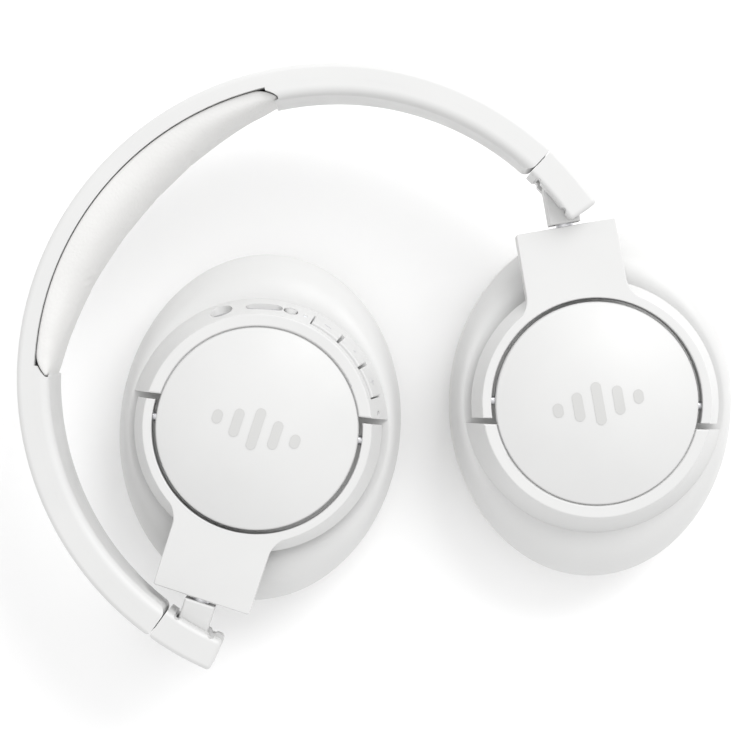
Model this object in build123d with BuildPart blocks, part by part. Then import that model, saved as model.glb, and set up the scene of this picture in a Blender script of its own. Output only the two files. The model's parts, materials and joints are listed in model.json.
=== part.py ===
"""Over ear headphones, lying flat with one ear cup folded in and the other part open.

Millimetres, +Z up.  The crown of the headband points along +Y, the two ear cups rest
on their cushions, and the left side is the one at -X.
"""
import os
from math import atan, cos, degrees, hypot, radians, sin

from build123d import *

# ---------------------------------------------------------------- headband
BAND_Y = 7.8              # centre of the headband arc
BAND_Z = 36.5             # middle height of headband, hinges and yokes
BAND_R = 80.5             # outer face of the headband
BAND_MID_R = 76.2         # outer shell meets inner covers and pad
BAND_IN_R = 72.3          # inner face of the arms
BAND_END = -3.3           # where the arms end, degrees from the X axis
OUTER_ROUND = 1.2         # long outer edges of the band
INNER_ROUND = 2.4         # long inner edges of the arms
CROWN_HALF = 15.0         # half width at the crown
END_HALF = 10.5           # half width at the arm ends
PAD_HALF = 38.8           # degrees of the crown pad either side of the crown
PAD_CROWN_R = 65.8        # inner face of the pad at the crown
PAD_END_R = 72.8          # inner face of the pad at its ends
PAD_CORNER = 2.8          # the outer corners of the pad curve in by this much
PAD_CORNER_RUN = 6.0      # and over this length
PAD_GAP = 0.1
PAD_SET_BACK = 0.8        # how far the pad's sides lie inside the shell's
CHANNEL_OUT_R = 78.6      # slider channel, outer wall
CHANNEL_HALF = 7.0        # slider channel, half height
STRIP_IN_R = 76.5         # slider strip
STRIP_OUT_R = 78.3
STRIP_HALF = 6.6
SPRING_THICK = 0.8

# ---------------------------------------------------------------- arm ends and hinges
ARM_END_TOP = -3.5        # degrees
ARM_END_TIP = -16.1
TIP_ROUND = 1.2
PIVOT_R = 75.4            # fold pin
PIVOT_ANGLE = -9.7
SLOT_HALF = 4.5           # hinge slot, half height
KNUCKLE_HALF = 4.2
KNUCKLE_R = 4.0
FOLD_PIN_R = 1.5
SWIVEL_PIN_R = 2.2
PIN_GAP = 0.05            # running clearance of a pin in its bore
STEM = 55.8               # fold pin to the middle of the ear cup
STEM_ANGLE = {1: 40.3, -1: 111.5}   # how far each stem is folded in from straight down

# ---------------------------------------------------------------- yoke
YOKE_IN_R = 27.1
YOKE_OUT_R = 29.4
YOKE_TOP = 40.0
YOKE_ARM_LOW = 33.9
PLATE_LOW = 33.2
PLATE_END = 46.1
PLATE_HALF = 12.9
WAIST_HALF = 13.0
ARM_TIP = -4.5
RING_FACE = -6.0
TILT_PIN_R = 1.25
WAIST_FILLET = 7.0
CORNER = 0.4
EDGE_ROUND = 0.3
FILLET_Y = ((YOKE_OUT_R + WAIST_FILLET) ** 2 - (WAIST_HALF + WAIST_FILLET) ** 2) ** 0.5
WAIST_X = (WAIST_HALF + WAIST_FILLET) * YOKE_OUT_R / (YOKE_OUT_R + WAIST_FILLET)
WAIST_Y = FILLET_Y * YOKE_OUT_R / (YOKE_OUT_R + WAIST_FILLET)

# ---------------------------------------------------------------- ear cup
CUP_TURN = 11.5           # the oval leans this far from the stem
CUP_X = 36.9              # half width of the housing
CUP_Y = 45.6              # half length of the housing
CUP_LOW = 20.0
RIM_TOP = 22.2
SHOULDER = 30.0
BOSS_LOW_R = 33.7
BOSS_R = 29.4
DRUM_R = 26.1
DRUM_TOP = 39.2
CAP_R = 25.95
CAP_EDGE = 40.3
CAP_TOP = 45.0
DOME_R = (CAP_R**2 + (CAP_TOP - CAP_EDGE) ** 2) / (2 * (CAP_TOP - CAP_EDGE))
CAVITY_X = 35.0
CAVITY_Y = 43.7
CUSHION_X = 37.3
CUSHION_Y = 46.0
CUSHION_TOP = 17.8
EAR_X = 20.5
EAR_Y = 28.5

BOSS_SLOPE = (BOSS_LOW_R - BOSS_R) / (YOKE_TOP - SHOULDER)
SIDES = {1: "right", -1: "left"}

os.makedirs("parts", exist_ok=True)


# ================================================================ frames of reference
def arc_plane(height=BAND_Z):
    return Plane(origin=(0, BAND_Y, height))


def arc_angle(side, angle):
    return angle if side > 0 else 180 - angle


def pivot(side):
    a = radians(PIVOT_ANGLE)
    return (side * PIVOT_R * cos(a), BAND_Y + PIVOT_R * sin(a))


def cup_frame(side, turn=CUP_TURN):
    """Middle of the cup, its x direction and its y direction, which points to the hinge."""
    a = radians(STEM_ANGLE[side])
    px, py = pivot(side)
    stem = (side * sin(a), cos(a))
    middle = (px - STEM * stem[0], py - STEM * stem[1])
    t = radians(-side * turn)
    y = (stem[0] * cos(t) - stem[1] * sin(t), stem[0] * sin(t) + stem[1] * cos(t))
    return middle, (y[1], -y[0]), y


def cup_plane(side, height=0.0, turn=CUP_TURN):
    middle, x, y = cup_frame(side, turn)
    return Plane(origin=(middle[0], middle[1], height), x_dir=(x[0], x[1], 0), z_dir=(0, 0, 1))


def cup_section(side, angle=0.0):
    """Upright plane through the cup axis: local x is the radius, local y is the height."""
    middle, x, y = cup_frame(side)
    a = radians(angle)
    r = (x[0] * cos(a) + y[0] * sin(a), x[1] * cos(a) + y[1] * sin(a))
    return Plane(origin=(middle[0], middle[1], 0), x_dir=(r[0], r[1], 0), z_dir=(r[1], -r[0], 0))


def cup_axis(side):
    middle, x, y = cup_frame(side)
    return Axis((middle[0], middle[1], 0), (0, 0, 1))


def stem_section(side, along):
    """Upright plane across the stem at a distance from the cup axis, facing the hinge."""
    middle, x, y = cup_frame(side, 0)
    at = (middle[0] + along * y[0], middle[1] + along * y[1], BAND_Z)
    return Plane(origin=at, x_dir=(x[0], x[1], 0), z_dir=(y[0], y[1], 0))


def radial_plane(side, around, radius, height):
    """Plane square to the boss wall, `around` degrees from the cup's x towards its lower end."""
    middle, x, y = cup_frame(side)
    a = radians(around)
    out = (side * cos(a) * x[0] - sin(a) * y[0], side * cos(a) * x[1] - sin(a) * y[1])
    at = (middle[0] + radius * out[0], middle[1] + radius * out[1], height)
    return Plane(origin=at, x_dir=(-out[1], out[0], 0), z_dir=(out[0], out[1], 0))


def boss_radius(height):
    return BOSS_R + BOSS_SLOPE * (YOKE_TOP - height)


# ================================================================ shared outlines
def arc_outline(r_in, r_out, a0, a1):
    """Sector of a ring about the arc centre."""
    with BuildLine() as line:
        CenterArc((0, 0), r_in, a0, a1 - a0)
        CenterArc((0, 0), r_out, a0, a1 - a0)
        for a in (a0, a1):
            c, s = cos(radians(a)), sin(radians(a))
            Line((r_in * c, r_in * s), (r_out * c, r_out * s))
    make_face(line.edges())


def band_half(y):
    """Half width of the headband at a height y over the arc centre."""
    return END_HALF + (CROWN_HALF - END_HALF) * (y + 4.6) / (BAND_R + 4.6)


def wedge_outline(less=0.0):
    low, high = band_half(-30) - less, band_half(85) - less
    Polygon((-30, -low), (85, -high), (85, high), (-30, low), align=None)


def wedge_plane():
    return Plane(origin=(0, BAND_Y, BAND_Z), x_dir=(0, 1, 0), z_dir=(1, 0, 0))


def long_edges(part, radius):
    """Edges that run along the band at one radius."""
    found = []
    for edge in part.edges():
        p = edge @ 0.5
        if abs(hypot(p.X, p.Y - BAND_Y) - radius) < 0.25 and edge.length > 12:
            found.append(edge)
    return found


def flat_edges(part, height):
    """Edges that lie in one level plane."""
    return [e for e in part.edges() if all(abs((e @ t).Z - height) < 1e-3 for t in (0, 0.5, 1))]


def save(part, name):
    part.label = name
    export_step(part, f"parts/{name}.step")


# ================================================================ headband
with BuildPart() as headband_shell:
    with BuildSketch(arc_plane()):
        arc_outline(BAND_MID_R, BAND_R, BAND_END, 180 - BAND_END)
    extrude(amount=16, both=True)
    with BuildSketch(wedge_plane()):
        wedge_outline()
    extrude(amount=90, both=True, mode=Mode.INTERSECT)
    fillet(long_edges(headband_shell.part, BAND_R), radius=OUTER_ROUND)
    with BuildSketch(arc_plane()):
        arc_outline(BAND_MID_R - 1, CHANNEL_OUT_R, BAND_END - 1, 181 - BAND_END)
    extrude(amount=CHANNEL_HALF, both=True, mode=Mode.SUBTRACT)
save(headband_shell.part, "headband_shell")

def pad_outline(gap=0.0):
    """Crescent of the crown pad seen from the side, with rounded outer corners."""
    half = radians(PAD_HALF) + gap / BAND_MID_R
    end_x, end_y = (PAD_END_R - gap) * sin(half), (PAD_END_R - gap) * cos(half)
    reach = BAND_MID_R - PAD_GAP + gap
    turn = PAD_CORNER_RUN / reach
    out_x, out_y = reach * sin(half - turn), reach * cos(half - turn)
    low_x, low_y = (reach - PAD_CORNER) * sin(half), (reach - PAD_CORNER) * cos(half)
    mid_r, mid_a = reach - 0.28 * PAD_CORNER, half - 0.45 * turn
    with BuildLine() as line:
        ThreePointArc((-end_x, end_y), (0, PAD_CROWN_R - gap), (end_x, end_y))
        ThreePointArc((out_x, out_y), (0, reach), (-out_x, out_y))
        for way in (1, -1):
            Line((way * end_x, end_y), (way * low_x, low_y))
            corner = (way * mid_r * sin(mid_a), mid_r * cos(mid_a))
            ThreePointArc((way * low_x, low_y), corner, (way * out_x, out_y))
    make_face(line.edges())


for side, name in SIDES.items():
    a0, a1 = sorted((arc_angle(side, BAND_END), arc_angle(side, 92 - PAD_HALF)))
    with BuildPart() as arm_cover:
        with BuildSketch(arc_plane()):
            arc_outline(BAND_IN_R, BAND_MID_R, a0, a1)
        extrude(amount=16, both=True)
        with BuildSketch(wedge_plane()):
            wedge_outline()
        extrude(amount=90, both=True, mode=Mode.INTERSECT)
        fillet(long_edges(arm_cover.part, BAND_IN_R), radius=INNER_ROUND)
        with BuildSketch(arc_plane()):
            pad_outline(PAD_GAP)
        extrude(amount=20, both=True, mode=Mode.SUBTRACT)
    save(arm_cover.part, f"arm_cover_{name}")

with BuildPart() as spring_band:
    with BuildSketch(arc_plane()):
        arc_outline(CHANNEL_OUT_R - SPRING_THICK, CHANNEL_OUT_R, 35, 145)
    extrude(amount=6.0, both=True)
save(spring_band.part, "spring_band")

with BuildPart() as headband_pad:
    with BuildSketch(arc_plane()):
        pad_outline()
    extrude(amount=16, both=True)
    with BuildSketch(wedge_plane()):
        wedge_outline(PAD_SET_BACK)
    extrude(amount=90, both=True, mode=Mode.INTERSECT)
    inner = [e for e in headband_pad.edges() if abs((e @ 0.5).X) < 1 and (e @ 0.5).Y < BAND_Y + 70]
    fillet(inner, radius=2.4)
save(headband_pad.part, "headband_pad")


# ================================================================ sliders and hinges
def slider_strip(side):
    a0, a1 = sorted((arc_angle(side, 31.0), arc_angle(side, ARM_END_TOP - 1.7)))
    with BuildPart() as strip:
        with BuildSketch(arc_plane()):
            arc_outline(STRIP_IN_R, STRIP_OUT_R, a0, a1)
        extrude(amount=STRIP_HALF, both=True)
    return strip.part


def hinge_plane(side, height=BAND_Z):
    """Origin on the fold pin, y back up the arm, x outwards on the right and inwards on the left."""
    px, py = pivot(side)
    a = radians(arc_angle(side, PIVOT_ANGLE))
    out = (cos(a), sin(a))
    x = (side * out[0], side * out[1])
    return Plane(origin=(px, py, height), x_dir=(x[0], x[1], 0), z_dir=(0, 0, 1))


def arm_end(side):
    """Hollow end of the arm: a web behind, two cheeks either side of the hinge slot."""
    a0, a1 = sorted((arc_angle(side, ARM_END_TOP), arc_angle(side, ARM_END_TIP)))
    with BuildPart() as end:
        with BuildSketch(arc_plane()):
            arc_outline(BAND_IN_R, BAND_R, a0, a1)
        extrude(amount=16, both=True)
        with BuildSketch(wedge_plane()):
            wedge_outline()
        extrude(amount=90, both=True, mode=Mode.INTERSECT)
        tip = [e for e in end.edges().filter_by(Axis.Z) if (e @ 0.5).Y < pivot(side)[1] - 3]
        fillet(tip, radius=TIP_ROUND)
        fillet(long_edges(end.part, BAND_R), radius=OUTER_ROUND)
        with BuildSketch(hinge_plane(side)):
            Polygon(
                (side * 1.4, 5.3),
                (side * 4.2, 2.6),
                (side * 4.2, 0),
                (side * 8.4, -15),
                (-side * 12, -15),
                (-side * 12, 5.3),
                align=None,
            )
        extrude(amount=SLOT_HALF, both=True, mode=Mode.SUBTRACT)
        with BuildSketch(hinge_plane(side)):
            with Locations((-side * 3.5, 4.9), (-side * 3.5, -4.9)):
                Circle(0.9)
        extrude(amount=16, both=True, mode=Mode.SUBTRACT)
        with BuildSketch(hinge_plane(side)):
            Circle(FOLD_PIN_R)
        extrude(amount=8.6, both=True, mode=Mode.SUBTRACT)
        add(slider_strip(side), mode=Mode.SUBTRACT)
    return end.part


def fold_pin(side):
    with BuildPart() as pin:
        with BuildSketch(hinge_plane(side)):
            Circle(FOLD_PIN_R)
        extrude(amount=8.6, both=True)
        chamfer(pin.edges().group_by(Axis.Z)[0] + pin.edges().group_by(Axis.Z)[-1], length=0.3)
    return pin.part


def knuckle(side):
    """Hinge block: turns on the fold pin and carries the swivel pin."""
    with BuildPart() as block:
        with BuildSketch(cup_plane(side, BAND_Z, 0)):
            with Locations((0, STEM)):
                Circle(KNUCKLE_R)
            with Locations((0, STEM - 4.45)):
                Rectangle(2 * KNUCKLE_R, 8.9)
        extrude(amount=KNUCKLE_HALF, both=True)
        rims = block.edges().group_by(Axis.Z)[0] + block.edges().group_by(Axis.Z)[-1]
        fillet(rims, radius=0.6)
        with BuildSketch(cup_plane(side, BAND_Z, 0)):
            with Locations((0, STEM)):
                Circle(FOLD_PIN_R + PIN_GAP)
        extrude(amount=8, both=True, mode=Mode.SUBTRACT)
        with BuildSketch(stem_section(side, STEM - 9.5)):
            Circle(SWIVEL_PIN_R)
        extrude(amount=9.5 - 3.2, mode=Mode.SUBTRACT)
    return block.part


def swivel_pin(side):
    with BuildPart() as pin:
        with BuildSketch(stem_section(side, 33.7)):
            Circle(2.5)
        extrude(amount=1.3)
        with BuildSketch(stem_section(side, 34.5)):
            Circle(SWIVEL_PIN_R)
        extrude(amount=STEM - 3.2 - 34.5)
    return pin.part


# ================================================================ yoke
def yoke(side):
    """C shaped fork that holds the cup, with a flat plate running to the hinge."""
    with BuildPart() as fork:
        with BuildSketch(cup_section(side)):
            Polygon(
                (YOKE_IN_R - 1, YOKE_ARM_LOW),
                (boss_radius(YOKE_ARM_LOW), YOKE_ARM_LOW),
                (YOKE_OUT_R, YOKE_TOP),
                (YOKE_IN_R - 1, YOKE_TOP),
                align=None,
            )
        revolve(axis=cup_axis(side))
        with BuildSketch(cup_plane(side, PLATE_LOW, 0)):
            with BuildLine():
                Polyline((-WAIST_X, 14), (WAIST_X, 14), (WAIST_X, WAIST_Y))
                RadiusArc((WAIST_X, WAIST_Y), (WAIST_HALF, FILLET_Y), WAIST_FILLET)
                Polyline(
                    (WAIST_HALF, FILLET_Y),
                    (PLATE_HALF, PLATE_END - CORNER),
                    (PLATE_HALF - CORNER, PLATE_END),
                    (CORNER - PLATE_HALF, PLATE_END),
                    (-PLATE_HALF, PLATE_END - CORNER),
                    (-WAIST_HALF, FILLET_Y),
                )
                RadiusArc((-WAIST_HALF, FILLET_Y), (-WAIST_X, WAIST_Y), WAIST_FILLET)
                Line((-WAIST_X, WAIST_Y), (-WAIST_X, 14))
            make_face()
        extrude(amount=YOKE_TOP - PLATE_LOW)
        with BuildSketch(cup_plane(side, 20)):
            Circle(YOKE_IN_R)
            with Locations((0, ARM_TIP - 30)):
                Rectangle(90, 60)
        extrude(amount=30, mode=Mode.SUBTRACT)
        fillet(flat_edges(fork.part, YOKE_TOP), radius=EDGE_ROUND)
        for way in (0, 180):
            with BuildSketch(radial_plane(side, way, YOKE_IN_R - 1, BAND_Z)):
                Circle(TILT_PIN_R + PIN_GAP)
            extrude(amount=3.9, mode=Mode.SUBTRACT)
        with BuildSketch(stem_section(side, 35.2)):
            Circle(SWIVEL_PIN_R + PIN_GAP)
        extrude(amount=20, mode=Mode.SUBTRACT)
        with BuildSketch(stem_section(side, 33.4)):
            Circle(2.55)
        extrude(amount=1.9, mode=Mode.SUBTRACT)
        with BuildSketch(cup_plane(side, PLATE_LOW, 0)):
            with Locations((0, 38)):
                RectangleRounded(11, 13, 1.5)
        extrude(amount=0.7, mode=Mode.SUBTRACT)
        with BuildSketch(cup_plane(side, PLATE_LOW, 0)):
            with Locations((0, 34.35)):
                Rectangle(5.0, 1.9)
        extrude(amount=BAND_Z - PLATE_LOW, mode=Mode.SUBTRACT)
        add(yoke_screws(side), mode=Mode.SUBTRACT)
    return fork.part


def yoke_cover(side):
    """Thin plate under the yoke that closes the swivel pin in."""
    with BuildPart() as cover:
        with BuildSketch(cup_plane(side, PLATE_LOW, 0)):
            with Locations((0, 38)):
                RectangleRounded(11, 13, 1.5)
        extrude(amount=0.7)
        add(yoke_screws(side), mode=Mode.SUBTRACT)
    return cover.part


def yoke_screws(side):
    """Two small countersunk screws with cross slots."""
    with BuildPart() as screws:
        with BuildSketch(cup_plane(side, PLATE_LOW, 0)):
            with Locations((4.0, 41), (-4.0, 41)):
                Circle(1.0)
        extrude(amount=0.5)
        with BuildSketch(cup_plane(side, PLATE_LOW + 0.5, 0)):
            with Locations((4.0, 41), (-4.0, 41)):
                Circle(0.6)
        extrude(amount=2.4)
    return screws.part


def tilt_pins(side):
    with BuildPart() as pins:
        for way in (0, 180):
            with BuildSketch(radial_plane(side, way, 23.0, BAND_Z)):
                Circle(TILT_PIN_R)
            extrude(amount=6.7)
    return pins.part


# ================================================================ ear cup
def cup_cavity(side):
    """Hollow of the housing, open at its lower face."""
    with BuildPart() as hollow:
        with BuildSketch(cup_plane(side, CUP_LOW - 0.5)):
            Ellipse(CAVITY_X, CAVITY_Y)
        extrude(amount=4.0)
        with BuildSketch(cup_plane(side, CUP_LOW + 3.5)):
            Ellipse(CAVITY_X, CAVITY_Y)
        with BuildSketch(cup_plane(side, SHOULDER - 1.9)):
            Ellipse(30.5, 30.6)
        loft()
        with BuildSketch(cup_plane(side, SHOULDER - 2.5)):
            Circle(23.4)
        extrude(amount=DRUM_TOP - 1.6 - SHOULDER + 2.5)
    return hollow.part


def cup_housing(side):
    """Oval shell that rises to a round boss, with a recess that the yoke swings in."""
    with BuildPart() as housing:
        with BuildSketch(cup_plane(side, CUP_LOW)):
            Ellipse(CUP_X, CUP_Y)
        extrude(amount=RIM_TOP - CUP_LOW)
        with BuildSketch(cup_plane(side, RIM_TOP)):
            Ellipse(CUP_X, CUP_Y)
        with BuildSketch(cup_plane(side, 26.2)):
            Ellipse(36.1, 42.4)
        with BuildSketch(cup_plane(side, 29.2)):
            Ellipse(34.9, 37.9)
        with BuildSketch(cup_plane(side, SHOULDER)):
            Ellipse(BOSS_LOW_R, BOSS_LOW_R + 0.1)
        loft()
        with BuildSketch(cup_section(side)):
            Polygon(
                (0, SHOULDER - 3),
                (BOSS_LOW_R - 1.5, SHOULDER - 3),
                (BOSS_LOW_R, SHOULDER),
                (BOSS_R, YOKE_TOP),
                (0, YOKE_TOP),
                align=None,
            )
        revolve(axis=cup_axis(side))
        with BuildSketch(cup_plane(side, DRUM_TOP)):
            Circle(CAP_R + 0.3)
        extrude(amount=5, mode=Mode.SUBTRACT)
        with BuildSketch(cup_plane(side, SHOULDER)):
            with Locations((0, RING_FACE + 30)):
                Rectangle(90, 60)
            Circle(DRUM_R, mode=Mode.SUBTRACT)
        extrude(amount=20, mode=Mode.SUBTRACT)
        add(cup_cavity(side), mode=Mode.SUBTRACT)
        for way in (0, 180):
            with BuildSketch(radial_plane(side, way, 22.0, BAND_Z)):
                Circle(TILT_PIN_R)
            extrude(amount=8.0, mode=Mode.SUBTRACT)
        fillet(flat_edges(housing.part, YOKE_TOP), radius=0.5)
        fillet([e for e in flat_edges(housing.part, RIM_TOP) if e.length > 100], radius=0.5)
    return housing.part


def cap_dome(side, lift=0.0):
    """Low dome over the drum."""
    with BuildPart() as dome:
        with BuildSketch(cup_section(side)):
            with BuildLine():
                Polyline((0, CAP_TOP + lift), (0, DRUM_TOP), (CAP_R, DRUM_TOP), (CAP_R, CAP_EDGE + lift))
                ThreePointArc(
                    (CAP_R, CAP_EDGE + lift),
                    (CAP_R / 2, CAP_TOP + lift - DOME_R + (DOME_R**2 - CAP_R**2 / 4) ** 0.5),
                    (0, CAP_TOP + lift),
                )
            make_face()
        revolve(axis=cup_axis(side))
    return dome.part


EMBLEM_BARS = ((-10.4, 3.6), (-5.2, 7.4), (0, 11.0), (5.2, 7.4), (10.4, 3.6))


def emblem_blank(side):
    """Five upright rounded bars, like a sound level display."""
    with BuildPart() as bars:
        with BuildSketch(cup_plane(side, CAP_TOP - 2.2, 0)):
            for x, length in EMBLEM_BARS:
                with Locations((x, 0)):
                    SlotOverall(length + 0.01, 2.6, rotation=90)
        extrude(amount=4)
    return bars.part


def cup_cap(side):
    with BuildPart() as cap:
        add(cap_dome(side))
        fillet([e for e in flat_edges(cap.part, CAP_EDGE) if e.length > 100], radius=0.5)
        add(emblem_blank(side), mode=Mode.SUBTRACT)
    return cap.part


def emblem(side):
    with BuildPart() as inlay:
        add(emblem_blank(side))
        add(cap_dome(side, 0.12), mode=Mode.INTERSECT)
    return inlay.part


def ear_cushion(side):
    """Soft oval ring with rolled edges."""
    with BuildPart() as ring:
        with BuildSketch(cup_plane(side, 0)):
            Ellipse(CUSHION_X, CUSHION_Y)
            Ellipse(EAR_X, EAR_Y, mode=Mode.SUBTRACT)
        extrude(amount=CUSHION_TOP)
        fillet(ring.edges().group_by(Axis.Z)[0], radius=6.4)
        fillet(ring.edges().group_by(Axis.Z)[-1], radius=1.6)
    return ring.part


def cushion_frame(side):
    """Oval plate that holds the cushion, with a rebate for the cloth."""
    with BuildPart() as frame:
        with BuildSketch(cup_plane(side, CUSHION_TOP)):
            Ellipse(35.8, 44.5)
            Ellipse(22.6, 30.6, mode=Mode.SUBTRACT)
        extrude(amount=CUP_LOW - CUSHION_TOP)
        with BuildSketch(cup_plane(side, CUP_LOW - 0.6)):
            Ellipse(25.0, 33.0)
        extrude(amount=1, mode=Mode.SUBTRACT)
    return frame.part


def driver_cloth(side):
    with BuildPart() as cloth:
        with BuildSketch(cup_plane(side, CUP_LOW - 0.6)):
            Ellipse(25.0, 33.0)
        extrude(amount=0.6)
    return cloth.part


def baffle(side):
    """Plate across the housing with the driver opening and six sound slots."""
    with BuildPart() as plate:
        with BuildSketch(cup_plane(side, CUP_LOW)):
            Ellipse(CAVITY_X, CAVITY_Y)
            Circle(20.0, mode=Mode.SUBTRACT)
            for v in (1, -1):
                with Locations((-9, v * 30), (0, v * 31), (9, v * 30)):
                    SlotOverall(6, 2.2, mode=Mode.SUBTRACT)
        extrude(amount=2.0)
        add(baffle_screws(side), mode=Mode.SUBTRACT)
    return plate.part


def baffle_screws(side):
    """Four screws that hold the baffle."""
    spots = [(u * 22, v * 29) for u in (1, -1) for v in (1, -1)]
    with BuildPart() as screws:
        with BuildSketch(cup_plane(side, CUP_LOW)):
            with Locations(*spots):
                Circle(2.0)
        extrude(amount=1.0)
        with BuildSketch(cup_plane(side, CUP_LOW + 1.0)):
            with Locations(*spots):
                Circle(1.0)
        extrude(amount=3.0)
        with BuildSketch(cup_plane(side, CUP_LOW)):
            with Locations(*spots):
                Rectangle(2.6, 0.5)
                Rectangle(0.5, 2.6)
        extrude(amount=0.5, mode=Mode.SUBTRACT)
    return screws.part


def driver_basket(side):
    with BuildPart() as basket:
        with BuildSketch(cup_section(side)):
            Polygon(
                (18.4, 20.6), (20.0, 20.6), (20.0, 22.0), (21.8, 22.0), (21.8, 23.0),
                (20.0, 23.0), (20.0, 27.2), (12.0, 27.2), (12.0, 26.0), (18.4, 26.0),
                align=None,
            )
        revolve(axis=cup_axis(side))
    return basket.part


def diaphragm(side):
    """Thin cone with a domed middle."""
    with BuildPart() as cone:
        with BuildSketch(cup_section(side)):
            Polygon(
                (0, 20.4), (4.0, 20.7), (7.8, 21.9), (9.4, 22.4), (13.4, 22.2), (18.4, 21.0),
                (18.4, 21.4), (13.4, 22.7), (9.2, 22.9), (7.4, 22.3), (3.8, 21.1), (0, 20.8),
                align=None,
            )
        revolve(axis=cup_axis(side))
    return cone.part


def magnet(side):
    with BuildPart() as slug:
        with BuildSketch(cup_plane(side, 24.2)):
            Circle(12.0)
        extrude(amount=5.0)
        chamfer(slug.edges().group_by(Axis.Z)[-1], length=0.8)
    return slug.part


def battery():
    with BuildPart() as cell:
        with BuildSketch(cup_plane(1, 30.4)):
            RectangleRounded(34, 22, 2)
        extrude(amount=5.2)
        fillet(cell.edges().group_by(Axis.Z)[-1], radius=0.8)
    return cell.part


def circuit_board():
    with BuildPart() as board:
        with BuildSketch(cup_plane(-1, 30.0)):
            Circle(22.6)
            with Locations((0, 22)):
                Rectangle(14, 6, mode=Mode.SUBTRACT)
        extrude(amount=1.2)
        with BuildSketch(cup_plane(-1, 31.2)):
            with Locations((6, 4)):
                Rectangle(7, 7)
            with Locations((-8, 6)):
                Rectangle(5, 4)
            with Locations((-3, -4)):
                Rectangle(4, 4)
        extrude(amount=1.0)
    return board.part


# ================================================================ controls on the left cup
KEY_SPAN = 15.0
KEYS = {"volume_up_key": 29.2, "play_key": 45.5, "volume_down_key": 61.8}
KEY_LOW = 33.0
KEY_HIGH = 37.8
KEY_DEEP = 1.6
KEY_PROUD = 0.55
POWER_R, LIGHT_R, MIC_R, AUX_R, AUX_BORE_R = 1.5, 0.6, 0.8, 3.0, 1.75
POWER_AT, LIGHT_AT, USB_AT, AUX_AT, MIC_AT = 80.8, 73.6, 93.5, 114.0, 13.5
PORT_Z = 35.2
AUX_Z = 34.6


def wall_block(start, span, low, high, deep, proud):
    """Part of the boss wall, swept round the cup axis."""
    with BuildPart() as block:
        with BuildSketch(cup_section(-1, 180 + start)):
            Polygon(
                (boss_radius(low) - deep, low),
                (boss_radius(low) + proud, low),
                (boss_radius(high) + proud, high),
                (boss_radius(high) - deep, high),
                align=None,
            )
        revolve(axis=cup_axis(-1), revolution_arc=span)
    return block.part


def key(around):
    """Key cap with its front edges rounded."""
    centre = cup_frame(-1)[0]
    with BuildPart() as cap:
        add(wall_block(around - KEY_SPAN / 2, KEY_SPAN, KEY_LOW, KEY_HIGH, KEY_DEEP, KEY_PROUD))
        faces = [(hypot(f.center().X - centre[0], f.center().Y - centre[1]), f) for f in cap.faces()]
        front = max(faces, key=lambda pair: pair[0])[1]
        fillet(front.edges(), radius=0.45)
    return cap.part


def key_pocket():
    """Pocket for the three keys, with room for their travel."""
    start = KEYS["volume_up_key"] - KEY_SPAN / 2 - 0.7
    end = KEYS["volume_down_key"] + KEY_SPAN / 2 + 0.7
    return wall_block(start, end - start, KEY_LOW - 0.4, KEY_HIGH + 0.4, KEY_DEEP + 1.0, 2.0)


def round_insert(around, radius, start, end, height):
    """Short rod square to the boss wall between two distances from the cup axis."""
    with BuildPart() as rod:
        with BuildSketch(radial_plane(-1, around, start, height)):
            Circle(radius)
        extrude(amount=end - start)
    return rod.part


def usb_block():
    with BuildPart() as block:
        with BuildSketch(radial_plane(-1, USB_AT, 24.6, PORT_Z)):
            SlotOverall(9.0, 3.2)
        extrude(amount=6.2)
    return block.part


def usb_port():
    """Metal socket shell with its contact tongue."""
    with BuildPart() as port:
        add(usb_block())
        with BuildSketch(radial_plane(-1, USB_AT, 25.6, PORT_Z)):
            SlotOverall(8.4, 2.6)
            Rectangle(6.6, 0.7, mode=Mode.SUBTRACT)
        extrude(amount=6.2, mode=Mode.SUBTRACT)
    return port.part


def aux_jack():
    """Round socket with its bore."""
    with BuildPart() as jack:
        add(round_insert(AUX_AT, AUX_R, 16.2, boss_radius(AUX_Z) - 0.9, AUX_Z))
        with BuildSketch(radial_plane(-1, AUX_AT, 17.2, AUX_Z)):
            Circle(AUX_BORE_R)
        extrude(amount=20, mode=Mode.SUBTRACT)
    return jack.part


def left_housing():
    """Left housing with the key pocket and the holes for the sockets, switch, light and microphone."""
    wall = boss_radius(PORT_Z)
    with BuildPart() as shell:
        add(cup_housing(-1))
        add(key_pocket(), mode=Mode.SUBTRACT)
        add(usb_block(), mode=Mode.SUBTRACT)
        with BuildSketch(radial_plane(-1, USB_AT, 30.7, PORT_Z)):
            SlotOverall(9.6, 3.8)
        extrude(amount=4, mode=Mode.SUBTRACT)
        add(round_insert(AUX_AT, AUX_R, 16, 34, AUX_Z), mode=Mode.SUBTRACT)
        add(round_insert(POWER_AT, POWER_R + 0.4, wall - 2.4, 36, PORT_Z), mode=Mode.SUBTRACT)
        add(round_insert(LIGHT_AT, LIGHT_R, wall - 2.0, 36, PORT_Z), mode=Mode.SUBTRACT)
        add(round_insert(MIC_AT, MIC_R, wall - 2.0, 36, PORT_Z), mode=Mode.SUBTRACT)
    return shell.part


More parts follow.
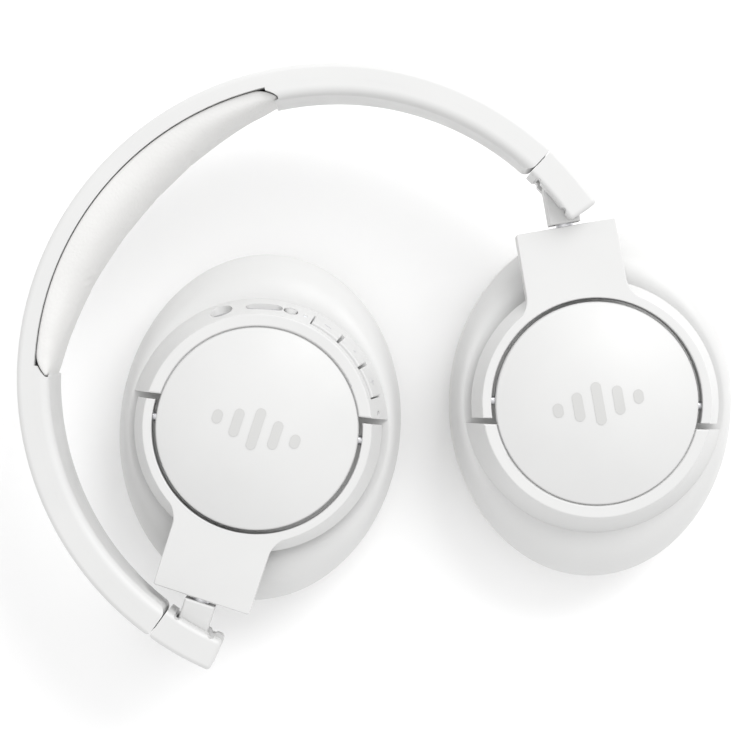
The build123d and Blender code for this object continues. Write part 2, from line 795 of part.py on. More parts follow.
# ================================================================ both sides
for side, name in SIDES.items():
    pieces = {
        "slider": slider_strip(side),
        "arm_end": arm_end(side),
        "fold_pin": fold_pin(side),
        "knuckle": knuckle(side),
        "swivel_pin": swivel_pin(side),
        "yoke": yoke(side),
        "yoke_cover": yoke_cover(side),
        "yoke_screws": yoke_screws(side),
        "tilt_pins": tilt_pins(side),
        "cup_housing": cup_housing(side) if side > 0 else left_housing(),
        "cup_cap": cup_cap(side),
        "emblem": emblem(side),
        "ear_cushion": ear_cushion(side),
        "cushion_frame": cushion_frame(side),
        "driver_cloth": driver_cloth(side),
        "baffle": baffle(side),
        "baffle_screws": baffle_screws(side),
        "driver_basket": driver_basket(side),
        "diaphragm": diaphragm(side),
        "magnet": magnet(side),
    }
    for kind, piece in pieces.items():
        save(piece, f"{kind}_{name}")

save(battery(), "battery")
save(circuit_board(), "circuit_board")
save(usb_port(), "usb_port")
save(aux_jack(), "aux_jack")
for kind, around in KEYS.items():
    save(key(around), kind)
WALL = boss_radius(PORT_Z)
save(round_insert(POWER_AT, POWER_R, WALL - 1.4, WALL + 0.5, PORT_Z), "power_key")
save(round_insert(LIGHT_AT, LIGHT_R, WALL - 2.0, WALL, PORT_Z), "status_light")
save(round_insert(MIC_AT, MIC_R, WALL - 2.0, WALL - 0.3, PORT_Z), "microphone_mesh")
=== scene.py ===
"""Looks of the over ear headphones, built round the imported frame."""
import json
import math

import bmesh
import bpy
import numpy as np
from mathutils import Matrix, Vector, noise

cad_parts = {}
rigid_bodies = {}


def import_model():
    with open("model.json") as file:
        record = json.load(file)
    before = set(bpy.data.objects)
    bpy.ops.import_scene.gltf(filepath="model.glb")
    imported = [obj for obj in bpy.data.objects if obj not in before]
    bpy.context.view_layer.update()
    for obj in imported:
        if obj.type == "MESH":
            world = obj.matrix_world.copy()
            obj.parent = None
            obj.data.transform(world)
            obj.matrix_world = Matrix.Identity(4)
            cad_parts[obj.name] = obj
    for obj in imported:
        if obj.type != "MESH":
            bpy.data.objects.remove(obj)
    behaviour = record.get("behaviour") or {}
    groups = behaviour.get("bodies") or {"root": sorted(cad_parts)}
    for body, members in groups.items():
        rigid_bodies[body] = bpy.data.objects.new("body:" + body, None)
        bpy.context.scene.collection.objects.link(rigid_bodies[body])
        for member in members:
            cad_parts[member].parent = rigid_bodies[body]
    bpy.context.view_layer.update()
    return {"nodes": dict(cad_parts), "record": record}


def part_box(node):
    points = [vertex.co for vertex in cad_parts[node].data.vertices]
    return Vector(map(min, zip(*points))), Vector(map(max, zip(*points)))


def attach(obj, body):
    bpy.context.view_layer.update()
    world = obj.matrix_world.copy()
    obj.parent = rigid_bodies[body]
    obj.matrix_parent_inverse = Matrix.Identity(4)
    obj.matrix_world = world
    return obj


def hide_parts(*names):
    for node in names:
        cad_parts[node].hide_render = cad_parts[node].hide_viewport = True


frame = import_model()
NODES = frame["nodes"]
BODY_OF = {name: obj.parent.name.split(":")[1] for name, obj in NODES.items()}
MM = 0.001


# ---------------------------------------------------------------- camera
IMAGE_UP = Vector((0.770, 0.638, 0)).normalized()
CAMERA_PLACE = (0.0075, 0.001, 0.690)
CAMERA_LENS = 121.7
CAMERA_SENSOR = 36


def middle(node):
    low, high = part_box(node)
    return (low + high) / 2


def add_camera():
    """Straight above the part, turned so that the folded cup is on the left of the picture."""
    camera = bpy.data.objects.new("camera", bpy.data.cameras.new("camera"))
    bpy.context.scene.collection.objects.link(camera)
    camera.data.lens = CAMERA_LENS
    camera.data.sensor_width = CAMERA_SENSOR
    camera.data.clip_start = 0.01
    camera.location = CAMERA_PLACE
    right = IMAGE_UP.cross(Vector((0, 0, 1)))
    camera.matrix_world = Matrix.Translation(camera.location) @ Matrix(
        (right, IMAGE_UP, Vector((0, 0, 1)))).transposed().to_4x4()
    bpy.context.scene.camera = camera


add_camera()


# ---------------------------------------------------------------- materials
def new_material(name, color, roughness, **sockets):
    """Principled material whose even values sit on the shader's own sockets."""
    mat = bpy.data.materials.new(name)
    mat.use_nodes = True
    mat.diffuse_color = (*color, 1)
    bsdf = mat.node_tree.nodes["Principled BSDF"]
    bsdf.inputs["Base Color"].default_value = (*color, 1)
    bsdf.inputs["Roughness"].default_value = roughness
    for socket, value in sockets.items():
        bsdf.inputs[socket.replace("_", " ")].default_value = value
    return mat, mat.node_tree, bsdf


def node(tree, kind, **values):
    made = tree.nodes.new(kind)
    for name, value in values.items():
        if name in made.inputs:
            made.inputs[name].default_value = value
        else:
            setattr(made, name, value)
    return made


def noise_node(tree, scale, detail=3.0, stretch=None):
    coords = node(tree, "ShaderNodeTexCoord")
    mapping = node(tree, "ShaderNodeMapping")
    if stretch:
        mapping.inputs["Scale"].default_value = stretch
    tree.links.new(coords.outputs["Object"], mapping.inputs["Vector"])
    made = node(tree, "ShaderNodeTexNoise", Scale=scale, Detail=detail)
    tree.links.new(mapping.outputs["Vector"], made.inputs["Vector"])
    return made


def vary_color(tree, bsdf, factor, dark, light):
    ramp = node(tree, "ShaderNodeValToRGB")
    ramp.color_ramp.elements[0].position = 0.3
    ramp.color_ramp.elements[0].color = (*dark, 1)
    ramp.color_ramp.elements[1].position = 0.7
    ramp.color_ramp.elements[1].color = (*light, 1)
    tree.links.new(factor, ramp.inputs["Fac"])
    tree.links.new(ramp.outputs["Color"], bsdf.inputs["Base Color"])


def vary_roughness(tree, bsdf, factor, low, high):
    span = node(tree, "ShaderNodeMapRange")
    span.inputs["From Min"].default_value = 0.3
    span.inputs["From Max"].default_value = 0.7
    span.inputs["To Min"].default_value = low
    span.inputs["To Max"].default_value = high
    tree.links.new(factor, span.inputs["Value"])
    tree.links.new(span.outputs["Result"], bsdf.inputs["Roughness"])


def add_bump(tree, bsdf, height, distance, strength=1.0, after=None):
    bump = node(tree, "ShaderNodeBump", Distance=distance, Strength=strength)
    tree.links.new(height, bump.inputs["Height"])
    if after:
        tree.links.new(after.outputs["Normal"], bump.inputs["Normal"])
    tree.links.new(bump.outputs["Normal"], bsdf.inputs["Normal"])
    return bump


def scaled(color, k):
    return tuple(min(1, c * k) for c in color)


def plastic(name, color, roughness, grain=5200, depth=0.012 * MM, **sockets):
    """Moulded plastic: fine spark eroded grain, faint flow marks, a little uneven gloss."""
    mat, tree, bsdf = new_material(name, color, roughness, **sockets)
    clouds = noise_node(tree, 34, 4)
    vary_color(tree, bsdf, clouds.outputs["Fac"], scaled(color, 0.975), scaled(color, 1.015))
    smears = noise_node(tree, 120, 5)
    vary_roughness(tree, bsdf, smears.outputs["Fac"], roughness - 0.05, roughness + 0.06)
    fine = noise_node(tree, grain, 2)
    add_bump(tree, bsdf, fine.outputs["Fac"], depth)
    return mat


def metal(name, color, roughness, stretch=(40, 900, 900)):
    """Bare metal with fine lines along one way."""
    mat, tree, bsdf = new_material(name, color, roughness, Metallic=1.0)
    lines = noise_node(tree, 12, 6, stretch)
    vary_roughness(tree, bsdf, lines.outputs["Fac"], roughness - 0.08, roughness + 0.12)
    vary_color(tree, bsdf, lines.outputs["Fac"], scaled(color, 0.9), scaled(color, 1.06))
    add_bump(tree, bsdf, lines.outputs["Fac"], 0.01 * MM)
    return mat


def leatherette(name, color):
    """Soft coated cloth: pebbled grain, finer pores between, soft sheen."""
    mat, tree, bsdf = new_material(name, color, 0.56, Sheen_Weight=0.18, Sheen_Roughness=0.5)
    coords = node(tree, "ShaderNodeTexCoord")
    warp = noise_node(tree, 300, 2)
    push = node(tree, "ShaderNodeVectorMath", operation="MULTIPLY_ADD")
    push.inputs[1].default_value = (0.0009, 0.0009, 0.0009)
    tree.links.new(warp.outputs["Color"], push.inputs[0])
    tree.links.new(coords.outputs["Object"], push.inputs[2])
    pebbles = node(tree, "ShaderNodeTexVoronoi", Scale=1500.0, feature="SMOOTH_F1")
    tree.links.new(push.outputs["Vector"], pebbles.inputs["Vector"])
    pores = noise_node(tree, 4200, 3)
    clouds = noise_node(tree, 55, 4)
    vary_color(tree, bsdf, clouds.outputs["Fac"], scaled(color, 0.965), scaled(color, 1.01))
    vary_roughness(tree, bsdf, clouds.outputs["Fac"], 0.50, 0.63)
    coarse = add_bump(tree, bsdf, pebbles.outputs["Distance"], 0.09 * MM, 0.8)
    add_bump(tree, bsdf, pores.outputs["Fac"], 0.02 * MM, 0.7, after=coarse)
    return mat


def speaker_cloth(name, color):
    """Open knit over the driver: two crossing sets of threads with dark gaps."""
    mat, tree, bsdf = new_material(name, color, 0.85, Sheen_Weight=0.3)
    waves = []
    for turn in (0.785, -0.785):
        coords = node(tree, "ShaderNodeTexCoord")
        mapping = node(tree, "ShaderNodeMapping")
        mapping.inputs["Rotation"].default_value = (0, 0, turn)
        tree.links.new(coords.outputs["Object"], mapping.inputs["Vector"])
        wave = node(tree, "ShaderNodeTexWave", Scale=260.0, Distortion=0.3, Detail=1.0)
        tree.links.new(mapping.outputs["Vector"], wave.inputs["Vector"])
        waves.append(wave)
    weave = node(tree, "ShaderNodeMath", operation="MULTIPLY")
    tree.links.new(waves[0].outputs["Fac"], weave.inputs[0])
    tree.links.new(waves[1].outputs["Fac"], weave.inputs[1])
    vary_color(tree, bsdf, weave.outputs["Value"], scaled(color, 0.35), scaled(color, 1.3))
    add_bump(tree, bsdf, weave.outputs["Value"], 0.15 * MM)
    return mat


def circuit_green(name, color):
    """Solder mask with a pattern of tracks."""
    mat, tree, bsdf = new_material(name, color, 0.4, Coat_Weight=0.4)
    coords = node(tree, "ShaderNodeTexCoord")
    tracks = node(tree, "ShaderNodeTexBrick", Scale=260.0)
    tree.links.new(coords.outputs["Object"], tracks.inputs["Vector"])
    vary_color(tree, bsdf, tracks.outputs["Fac"], color, scaled(color, 1.7))
    specks = noise_node(tree, 900, 3)
    vary_roughness(tree, bsdf, specks.outputs["Fac"], 0.32, 0.5)
    add_bump(tree, bsdf, tracks.outputs["Fac"], 0.03 * MM)
    return mat


def perforated(name, color):
    """Metal mesh with round holes."""
    mat, tree, bsdf = new_material(name, color, 0.4, Metallic=0.8)
    coords = node(tree, "ShaderNodeTexCoord")
    holes = node(tree, "ShaderNodeTexVoronoi", Scale=2600.0)
    tree.links.new(coords.outputs["Object"], holes.inputs["Vector"])
    vary_color(tree, bsdf, holes.outputs["Distance"], scaled(color, 0.2), color)
    add_bump(tree, bsdf, holes.outputs["Distance"], 0.05 * MM)
    return mat


# The strong light that makes the floor pure white would burn out the white pieces at their full colour.
TONE = 0.76
PAD_TONE = 0.83


def base_color(slot):
    for entry in frame["record"]["materials"]:
        if entry["slot"] == slot:
            return tuple(entry["base_color"][:3])
    raise KeyError(slot)


def make_materials():
    shell = scaled(base_color("shell_plastic"), TONE)
    return {
        "shell_plastic": plastic("shell_plastic", shell, 0.40, IOR=1.49),
        "key_plastic": plastic("key_plastic", scaled(base_color("key_plastic"), TONE), 0.36),
        "sign_print": plastic("sign_print", (0.56, 0.56, 0.57), 0.45, grain=6000),
        "inner_plastic": plastic("inner_plastic", scaled(base_color("inner_plastic"), TONE), 0.5, grain=3000),
        "emblem_gloss": plastic("emblem_gloss", scaled(base_color("emblem_gloss"), TONE), 0.14,
                                depth=0.002 * MM, Coat_Weight=0.6, Coat_Roughness=0.06),
        "pad_leatherette": leatherette("pad_leatherette", scaled(base_color("pad_leatherette"), PAD_TONE)),
        "thread": plastic("thread", scaled(base_color("pad_leatherette"), 0.93 * PAD_TONE), 0.7, grain=6000,
                          depth=0.04 * MM, Sheen_Weight=0.3),
        "spring_steel": metal("spring_steel", base_color("spring_steel"), 0.35),
        "slider_steel": metal("slider_steel", base_color("slider_steel"), 0.32),
        "hinge_metal": plastic("hinge_metal", scaled(base_color("hinge_metal"), TONE), 0.42, grain=3600,
                               depth=0.03 * MM),
        "pin_steel": metal("pin_steel", base_color("pin_steel"), 0.28),
        "screw_steel": metal("screw_steel", base_color("screw_steel"), 0.33),
        "speaker_cloth": speaker_cloth("speaker_cloth", base_color("speaker_cloth")),
        "diaphragm_film": plastic("diaphragm_film", base_color("diaphragm_film"), 0.22),
        "magnet_metal": plastic("magnet_metal", base_color("magnet_metal"), 0.4, Metallic=0.6),
        "port_metal": metal("port_metal", base_color("port_metal"), 0.3),
        "mesh_metal": perforated("mesh_metal", base_color("port_metal")),
        "port_plastic": plastic("port_plastic", base_color("port_plastic"), 0.45),
        "board_green": circuit_green("board_green", base_color("board_green")),
        "light_lens": plastic("light_lens", base_color("light_lens"), 0.12, depth=0.002 * MM),
        "battery_wrap": plastic("battery_wrap", base_color("battery_wrap"), 0.3),
    }


MATERIALS = make_materials()


def dress_cad_nodes():
    """Every CAD node takes the procedural material of its slot."""
    for part in frame["record"]["subparts"]:
        mat = MATERIALS[part["material_slot"]]
        if part["node"] == "microphone_mesh":
            mat = MATERIALS["mesh_metal"]
        mesh = NODES[part["node"]].data
        mesh.materials.clear()
        mesh.materials.append(mat)


dress_cad_nodes()


# ---------------------------------------------------------------- mesh helpers
def link_piece(name, mesh, mat, body):
    piece = bpy.data.objects.new(name, mesh)
    bpy.context.scene.collection.objects.link(piece)
    mesh.materials.clear()
    mesh.materials.append(mat)
    mesh.polygons.foreach_set("use_smooth", [True] * len(mesh.polygons))
    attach(piece, body)
    return piece


def mesh_from(name, bm):
    bmesh.ops.recalc_face_normals(bm, faces=bm.faces)
    mesh = bpy.data.meshes.new(name)
    bm.to_mesh(mesh)
    bm.free()
    return mesh


def bridge(bm, a, b):
    """Quads between two closed rings of vertices."""
    count = len(a)
    for k in range(count):
        bm.faces.new((a[k], a[(k + 1) % count], b[(k + 1) % count], b[k]))


def stitch_mesh(name, points, ups, length, radius):
    """Short rounded stitches laid end to end along a closed line."""
    bm = bmesh.new()
    count, steps, sides = len(points), 5, 6
    for i in range(count):
        start, end = points[i], points[(i + 1) % count]
        along = (end - start).normalized()
        up = ups[i]
        side = along.cross(up).normalized()
        centre = (start + end) / 2
        rings = []
        for s in range(steps + 1):
            t = s / steps - 0.5
            swell = math.sqrt(max(0.06, 1 - (2 * t) ** 2))
            at = centre + along * (length * t) + up * (radius * (0.9 * swell - 0.3))
            rings.append([bm.verts.new(at + side * (radius * swell * math.cos(a))
                                       + up * (radius * 0.7 * swell * math.sin(a)))
                          for a in (2 * math.pi * k / sides for k in range(sides))])
        for a, b in zip(rings, rings[1:]):
            bridge(bm, a, b)
        bm.faces.new(list(reversed(rings[0])))
        bm.faces.new(rings[-1])
    return mesh_from(name, bm)


def smoothstep(low, high, x):
    t = min(1.0, max(0.0, (x - low) / (high - low)))
    return t * t * (3 - 2 * t)


# ---------------------------------------------------------------- padded pieces
SIM_SCALE = 5.0            # the cloth solver works better at the size of a seat cushion
SIM_FRAMES = 20
SIM_PRESSURE = 4.0


def inflate(piece, weights, reach):
    """Cloth with air pressure inside, held where weights is above 0; no point moves past reach."""
    mesh = piece.data
    mesh.transform(Matrix.Scale(SIM_SCALE, 4))
    rest = [v.co.copy() for v in mesh.vertices]
    group = piece.vertex_groups.new(name="held")
    for i, weight in enumerate(weights):
        if weight > 0:
            group.add([i], weight, "REPLACE")
    cloth = piece.modifiers.new("cloth", "CLOTH")
    settings = cloth.settings
    settings.quality = 6
    settings.mass = 0.3
    settings.tension_stiffness = 12
    settings.compression_stiffness = 12
    settings.shear_stiffness = 6
    settings.bending_stiffness = 0.4
    settings.use_pressure = True
    settings.uniform_pressure_force = SIM_PRESSURE
    settings.vertex_group_mass = "held"
    settings.effector_weights.gravity = 0
    cloth.point_cache.frame_end = SIM_FRAMES
    scene = bpy.context.scene
    for number in range(1, SIM_FRAMES + 1):
        scene.frame_set(number)
    moved = piece.evaluated_get(bpy.context.evaluated_depsgraph_get())
    final = bpy.data.meshes.new_from_object(moved)
    piece.modifiers.clear()
    scene.frame_set(1)
    for vertex, old, new in zip(mesh.vertices, rest, final.vertices):
        move = new.co - old
        if move.length > reach * SIM_SCALE:
            move *= reach * SIM_SCALE / move.length
        vertex.co = old + move
    mesh.transform(Matrix.Scale(1 / SIM_SCALE, 4))
    bpy.data.meshes.remove(final)


def new_pad(name, mesh, weights, reach):
    piece = bpy.data.objects.new(name, mesh)
    bpy.context.scene.collection.objects.link(piece)
    inflate(piece, weights, reach)
    piece.data.update()
    return piece


def finish_pad(piece, body, node_name):
    mesh = piece.data
    mesh.materials.clear()
    mesh.materials.append(MATERIALS["pad_leatherette"])
    mesh.polygons.foreach_set("use_smooth", [True] * len(mesh.polygons))
    mesh.update()
    sub = piece.modifiers.new("subdivision", "SUBSURF")
    sub.levels = 1
    sub.render_levels = 1
    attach(piece, body)
    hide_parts(node_name)


# ---------------------------------------------------------------- ear cushions
# Closed section of the cushion: share of the way from the ear opening to the outside, height
# over the floor in mm, and how firmly the cover is held there (1 at the frame and in the seams).
CUSHION_SECTION = (
    (0.10, 17.7, 1.0), (0.30, 17.7, 1.0), (0.50, 17.7, 1.0), (0.70, 17.7, 1.0),
    (0.88, 17.7, 1.0), (0.955, 17.6, 1.0), (0.982, 17.2, 0.9), (0.988, 16.3, 0.5),
    (0.978, 15.7, 1.0), (0.978, 15.4, 1.0), (0.986, 14.8, 0.4), (0.990, 13.4, 0),
    (0.992, 11.6, 0), (0.990, 9.8, 0), (0.984, 8.0, 0), (0.972, 6.3, 0),
    (0.950, 4.6, 0), (0.915, 3.1, 0), (0.865, 1.8, 0), (0.800, 0.8, 0),
    (0.720, 0.2, 0), (0.630, 0.05, 0), (0.530, 0.05, 0), (0.430, 0.3, 0),
    (0.340, 1.1, 0), (0.265, 2.0, 0), (0.205, 3.2, 0.3), (0.180, 3.95, 1.0),
    (0.172, 4.25, 1.0), (0.140, 4.9, 0.3), (0.095, 6.1, 0), (0.065, 7.8, 0),
    (0.050, 9.6, 0), (0.045, 11.4, 0), (0.050, 13.1, 0), (0.060, 14.7, 0.2),
    (0.072, 16.1, 0.6), (0.080, 17.2, 1.0),
)
INNER_SEAM = 27            # where in the section the face panel is sewn to the inner wall
AROUND = 176               # stations round the cushion
CUSHION_REACH = 0.7 * MM   # the most that air pressure may move the cover
FLOOR_LIFT = 0.02 * MM
STITCHES = 132
STITCH_RADIUS = 0.16 * MM


class CupOval:
    """Middle, directions and half sizes of a cushion's outline and ear opening, from its CAD node."""

    def __init__(self, side):
        self.side = side
        self.centre = middle(f"magnet_{side}")
        self.low, self.high = (corner.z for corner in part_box(f"ear_cushion_{side}"))
        points = np.array([v.co - self.centre for v in NODES[f"ear_cushion_{side}"].data.vertices])
        wall = (points[:, 2] + self.centre.z > 6 * MM) & (points[:, 2] + self.centre.z < 17 * MM)
        far = np.hypot(points[:, 0], points[:, 1]) > 33 * MM
        self.outer, turn = self.fit(points[wall & far])
        self.inner = self.fit(points[wall & ~far])[0]
        self.x = Vector((turn[0, 0], turn[1, 0], 0))
        self.y = Vector((turn[0, 1], turn[1, 1], 0))

    @staticmethod
    def fit(points):
        """Half sizes and directions of the ellipse about the middle that passes through the points."""
        x, y = points[:, 0], points[:, 1]
        a, b, c = np.linalg.lstsq(np.stack([x * x, x * y, y * y], 1), np.ones(len(x)), rcond=None)[0]
        values, turn = np.linalg.eigh(np.array([[a, b / 2], [b / 2, c]]))
        return 1 / np.sqrt(values), turn

    def at(self, angle, share, z):
        """Point at an angle round the oval, part of the way from the ear opening to the outside."""
        u = (self.inner[0] + (self.outer[0] - self.inner[0]) * share) * math.cos(angle)
        v = (self.inner[1] + (self.outer[1] - self.inner[1]) * share) * math.sin(angle)
        p = self.centre + self.x * u + self.y * v
        return Vector((p.x, p.y, z))

    def ring(self, point):
        d = point - self.centre
        return math.hypot(d.dot(self.x) / self.outer[0], d.dot(self.y) / self.outer[1])


def cushion_mesh(oval, name):
    bm = bmesh.new()
    rings = []
    for i in range(AROUND):
        angle = 2 * math.pi * i / AROUND
        rings.append([bm.verts.new(oval.at(angle, share, oval.low + z * MM))
                      for share, z, _ in CUSHION_SECTION])
    for i in range(AROUND):
        bridge(bm, rings[i], rings[(i + 1) % AROUND])
    return mesh_from(name, bm)


def build_cushion(oval, seed):
    """Stuffed oval ring: inflated cover, puckers at its seams, flat where it rests on the floor."""
    side = oval.side
    held = [weight for _, _, weight in CUSHION_SECTION] * AROUND
    name = f"ear_cushion_cover_{side}"
    piece = new_pad(name, cushion_mesh(oval, name), held, CUSHION_REACH)
    across = len(CUSHION_SECTION)
    for i, vertex in enumerate(piece.data.vertices):
        angle = 2 * math.pi * (i // across) / AROUND
        row = i % across
        z = CUSHION_SECTION[row][1]
        loose = 1 - CUSHION_SECTION[row][2]
        side_seam = math.exp(-((z - 13.6) / 2.6) ** 2) if row < INNER_SEAM - 6 else 0.0
        face_seam = math.exp(-((row - INNER_SEAM) / 3.2) ** 2)
        ripple = noise.noise(seed + Vector((math.cos(angle) * 13, math.sin(angle) * 15, row * 0.05)))
        fine = noise.noise(seed + Vector((math.cos(angle) * 34, math.sin(angle) * 40, row * 0.09)))
        pucker = (0.13 * ripple + 0.12 * fine) * max(0.7 * side_seam, face_seam)
        slack = 0.16 * noise.noise(seed + vertex.co * 55)
        vertex.co += vertex.normal * MM * loose * (pucker + slack)
    for vertex in piece.data.vertices:
        vertex.co.z = min(max(vertex.co.z, oval.low + FLOOR_LIFT), oval.high - 0.03 * MM)
        over = oval.ring(vertex.co) - 0.999
        if over > 0:
            vertex.co.x -= (vertex.co.x - oval.centre.x) * over
            vertex.co.y -= (vertex.co.y - oval.centre.y) * over
    finish_pad(piece, f"{side}_cup", f"ear_cushion_{side}")
    build_stitches(oval, piece)


def build_stitches(oval, piece):
    """Thread over the seam between the face panel and the inner wall."""
    across = len(CUSHION_SECTION)
    row = INNER_SEAM - 1
    line = []
    for k in range(STITCHES):
        station = k * AROUND / STITCHES
        i, t = int(station), station % 1
        a = piece.data.vertices[i * across + row].co
        b = piece.data.vertices[(i + 1) % AROUND * across + row].co
        line.append(a.lerp(b, t))
    ups = []
    for p in line:
        inward = Vector((oval.centre.x - p.x, oval.centre.y - p.y, 0)).normalized()
        ups.append((inward * 0.75 + Vector((0, 0, -0.66))).normalized())
    length = 0.72 * (line[1] - line[0]).length
    stitches = stitch_mesh(f"cushion_stitches_{oval.side}", line, ups, length, STITCH_RADIUS)
    link_piece(stitches.name, stitches, MATERIALS["thread"], f"{oval.side}_cup")


for cup_side, cup_seed in (("left", Vector((11.3, 4.7, 2.1))), ("right", Vector((3.1, 8.2, 6.4)))):
    build_cushion(CupOval(cup_side), cup_seed)


# ---------------------------------------------------------------- headband pad
PAD_STATIONS = 140
PAD_ROWS = 22              # from the middle of the back, over one side, to the middle of the inner face
PAD_TUCK = 0.3 * MM        # how far the cover's edges turn in beside the shell
PAD_END_ROUND = 6.0 * MM   # length over which the outer corners curve in
PAD_END_DROP = 2.6 * MM    # and how far they come in
PAD_REACH = 0.6 * MM       # the most that air pressure may move the cover
PAD_GAP = 0.02 * MM        # under the shell
PAD_SIDE_GAP = 0.15 * MM
PAD_SHRINK = 0.5 * MM      # room left for the bulge of the inner face
FLAT_ROWS = 5              # rows over half of the back
END_POWER = 4.2            # squareness of the section at the pad's ends
CROWN_POWER = 2.35         # and at the crown, where it is rounder


class PadArc:
    """The headband arc and the pad's span on it, from the CAD nodes."""

    def __init__(self):
        low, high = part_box("headband_shell")
        self.centre = Vector(((low.x + high.x) / 2, high.y - (high.x - low.x) / 2, (low.z + high.z) / 2))
        points = np.array([v.co - self.centre for v in NODES["headband_pad"].data.vertices])
        x, y, z = points.T
        reach, turn = np.hypot(x, y), np.arctan2(x, y)
        self.half = turn.max()
        self.out_r = reach.max()
        self.end_r = reach[turn > self.half - 1e-3].min()
        self.crown_r = reach.min()
        self.top = y.max()
        self.top_half = z[y > self.top - 0.3 * MM].max()
        self.foot = y.min()
        self.foot_half = z[y < self.foot + 0.3 * MM].max()

    def inner_r(self, turn):
        """The inner face is an arc too, through the crown and both ends."""
        end_x, end_y = self.end_r * math.sin(self.half), self.end_r * math.cos(self.half)
        rise = self.crown_r - end_y
        radius = (end_x ** 2 + rise ** 2) / (2 * rise)
        drop = self.crown_r - radius
        return drop * math.cos(turn) + math.sqrt(radius ** 2 - (drop * math.sin(turn)) ** 2)

    def half_width(self, y):
        return self.foot_half + (self.top_half - self.foot_half) * (y - self.foot) / (self.top - self.foot)

    def place(self, turn, r, z):
        return self.centre + Vector((r * math.sin(turn), r * math.cos(turn), z))


def pad_half_section(arc, turn):
    """Points (reach, height, hold) from the middle of the back round one side to the inner face."""
    to_end = (arc.half - abs(turn)) * arc.out_r
    rounding = 0.0
    if to_end < PAD_END_ROUND:
        rounding = (1 - to_end / PAD_END_ROUND) ** 2
    back = arc.out_r - PAD_GAP - rounding * PAD_END_DROP
    inner = arc.inner_r(turn) + PAD_SHRINK * smoothstep(0, 12 * MM, to_end)
    lip = min(0.6 * MM, 0.4 * (back - inner))
    crown = smoothstep(0, 30 * MM, to_end)
    power = END_POWER + (CROWN_POWER - END_POWER) * crown
    points = []
    width = arc.half_width(back * math.cos(turn)) - PAD_SIDE_GAP
    for k in range(FLAT_ROWS):
        points.append((back, (width - PAD_TUCK) * k / FLAT_ROWS, 1.0))
    points.append((back, width - PAD_TUCK, 1.0))
    points.append((back - 0.4 * lip, width - 0.25 * PAD_TUCK, 1.0))
    rows = PAD_ROWS - len(points)
    for k in range(rows):
        a = math.pi / 2 * k / (rows - 1)
        r = back - lip - (back - lip - inner) * math.sin(a) ** (2 / power)
        y = r * math.cos(turn)
        z = (arc.half_width(y) - PAD_SIDE_GAP) * math.cos(a) ** (2 / power)
        points.append((r, max(z, 0.0), 0.5 if k == 0 else 0.0))
    return points


def pad_mesh(arc, name):
    """Closed skin: rings of the section along the arc, closed by smaller rings at both ends."""
    bm = bmesh.new()
    rings, held = [], []

    def add_ring(turn, scale, hold):
        half = pad_half_section(arc, turn)
        loop = half + [(r, -z, w) for r, z, w in reversed(half[1:-1])]
        mid = (half[0][0] + half[-1][0]) / 2
        ring = []
        for r, z, w in loop:
            ring.append(bm.verts.new(arc.place(turn, mid + (r - mid) * scale, z * scale)))
            held.append(max(w, hold))
        rings.append(ring)

    last = arc.half - 0.1 * MM / arc.out_r
    add_ring(-last, 0.35, 1.0)
    add_ring(-last, 0.75, 1.0)
    for i in range(PAD_STATIONS + 1):
        s = 2 * i / PAD_STATIONS - 1
        turn = last * (0.62 * s + 0.38 * math.sin(math.pi / 2 * s))
        add_ring(turn, 1.0, 1.0 if i in (0, PAD_STATIONS) else 0.0)
    add_ring(last, 0.75, 1.0)
    add_ring(last, 0.35, 1.0)
    for a, b in zip(rings, rings[1:]):
        bridge(bm, a, b)
    for ring, turn in ((rings[0], -last), (rings[-1], last)):
        centre = sum((v.co for v in ring), Vector()) / len(ring)
        tip = bm.verts.new(centre)
        held.append(1.0)
        for k in range(len(ring)):
            bm.faces.new((ring[k], ring[(k + 1) % len(ring)], tip))
    return mesh_from(name, bm), held


def build_headband_pad():
    """Crown pad: its cover is tucked in behind the shell and bulges towards the head."""
    arc = PadArc()
    low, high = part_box("headband_pad")
    mesh, held = pad_mesh(arc, "headband_pad_cover")
    piece = new_pad("headband_pad_cover", mesh, held, PAD_REACH)
    seed = Vector((5.5, 1.7, 9.1))
    for vertex, weight in zip(piece.data.vertices, held):
        p = vertex.co - arc.centre
        turn = math.atan2(p.x, p.y)
        depth = arc.out_r - math.hypot(p.x, p.y)
        near_edge = smoothstep(0.3 * MM, 1.5 * MM, depth) * (1 - smoothstep(2.5 * MM, 7 * MM, depth))
        ripple = noise.noise(seed + Vector((turn * 26, depth * 90, p.z * 30)))
        slack = noise.noise(seed + vertex.co * 45)
        vertex.co += vertex.normal * MM * (1 - weight) * (0.07 * ripple * near_edge + 0.14 * slack)
        for axis in range(3):
            vertex.co[axis] = min(max(vertex.co[axis], low[axis] - 0.3 * MM), high[axis] + 0.3 * MM)
    finish_pad(piece, "headband", "headband_pad")


build_headband_pad()


# ---------------------------------------------------------------- key signs
def bar_sign(bm, origin, along, up, out, length, width, proud):
    """Raised bar with chamfered edges, laid on a face whose outward direction is out."""
    rings = []
    for lift, inset in ((-0.1 * MM, 0.0), (0.6 * proud, 0.0), (proud, 0.35 * proud)):
        half_l, half_w = length / 2 - inset, width / 2 - inset
        ring = []
        for k in range(16):
            a = 2 * math.pi * (k + 0.5) / 16
            u = math.copysign(half_l - half_w, math.cos(a)) + half_w * math.cos(a)
            ring.append(bm.verts.new(origin + along * u + up * (half_w * math.sin(a)) + out * lift))
        rings.append(ring)
    for a, b in zip(rings, rings[1:]):
        bridge(bm, a, b)
    bm.faces.new(list(reversed(rings[0])))
    bm.faces.new(rings[-1])


SIGN_WIDTH = 0.42
DOT_WIDTH = 0.7
SIGN_PROUD = 0.12 * MM


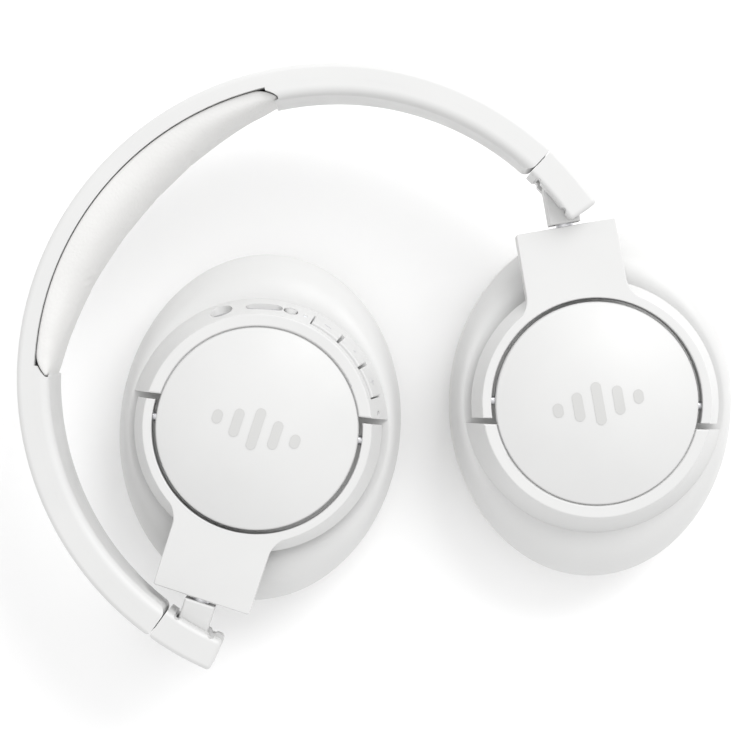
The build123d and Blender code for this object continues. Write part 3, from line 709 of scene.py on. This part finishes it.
def build_key_signs():
    """Plus on the louder key, minus on the quieter one, a dot on the play key."""
    axis = middle("magnet_left")
    for name, signs in (("volume_up_key", ((2.0, 0), (2.0, 90))), ("volume_down_key", ((2.0, 0),)),
                        ("play_key", ((0.75, 0),))):
        key = NODES[name]
        centre = middle(name)
        inward = Vector((axis.x - centre.x, axis.y - centre.y, 0)).normalized()
        hit, origin, out, _ = key.ray_cast(centre - inward * 0.02, inward)
        if not hit:
            raise RuntimeError(f"no front face found on {name}")
        along = out.cross(Vector((0, 0, 1))).normalized()
        up = out.cross(along)
        bm = bmesh.new()
        for length, turn in signs:
            spin = Matrix.Rotation(math.radians(turn), 3, out)
            width = SIGN_WIDTH if length > 1 else DOT_WIDTH
            bar_sign(bm, origin, spin @ along, spin @ up, out, length * MM, width * MM, SIGN_PROUD)
        sign = mesh_from(f"{name}_sign", bm)
        link_piece(sign.name, sign, MATERIALS["sign_print"], BODY_OF[name])


build_key_signs()


# ---------------------------------------------------------------- floor and light
FLOOR_HALF = 3.0           # metres
FLOOR_COLOR = (0.95, 0.95, 0.95)
ROOM_STRENGTH = 0.98       # even white light from all round


def add_floor():
    mesh = bpy.data.meshes.new("floor")
    half = FLOOR_HALF
    corners = [(-half, -half, 0), (half, -half, 0), (half, half, 0), (-half, half, 0)]
    mesh.from_pydata(corners, [], [(0, 1, 2, 3)])
    floor = bpy.data.objects.new("floor", mesh)
    bpy.context.scene.collection.objects.link(floor)
    mat, tree, bsdf = new_material("floor_paint", FLOOR_COLOR, 0.75)
    clouds = noise_node(tree, 3, 2)
    vary_roughness(tree, bsdf, clouds.outputs["Fac"], 0.7, 0.8)
    mesh.materials.append(mat)


def add_area(name, place, size, power, target=(0, 0, 0.03)):
    light = bpy.data.objects.new(name, bpy.data.lights.new(name, "AREA"))
    bpy.context.scene.collection.objects.link(light)
    light.data.shape = "DISK"
    light.data.size = size
    light.data.energy = power
    light.location = place
    light.rotation_euler = (Vector(target) - Vector(place)).to_track_quat("-Z", "Y").to_euler()


def add_light():
    """Big soft light from the top of the picture, weaker one from its lower left, pale room all round."""
    right = IMAGE_UP.cross(Vector((0, 0, 1)))
    add_area("key", IMAGE_UP * 0.62 + right * 0.42 + Vector((0, 0, 0.72)), 0.75, 5.7)
    add_area("fill", IMAGE_UP * 0.1 - right * 0.2 + Vector((0, 0, 1.2)), 1.2, 1.2)
    world = bpy.data.worlds.new("room")
    bpy.context.scene.world = world
    world.use_nodes = True
    back = world.node_tree.nodes["Background"]
    back.inputs["Color"].default_value = (1, 1, 1, 1)
    back.inputs["Strength"].default_value = ROOM_STRENGTH


add_floor()
add_light()
bpy.context.scene.view_settings.view_transform = "Standard"
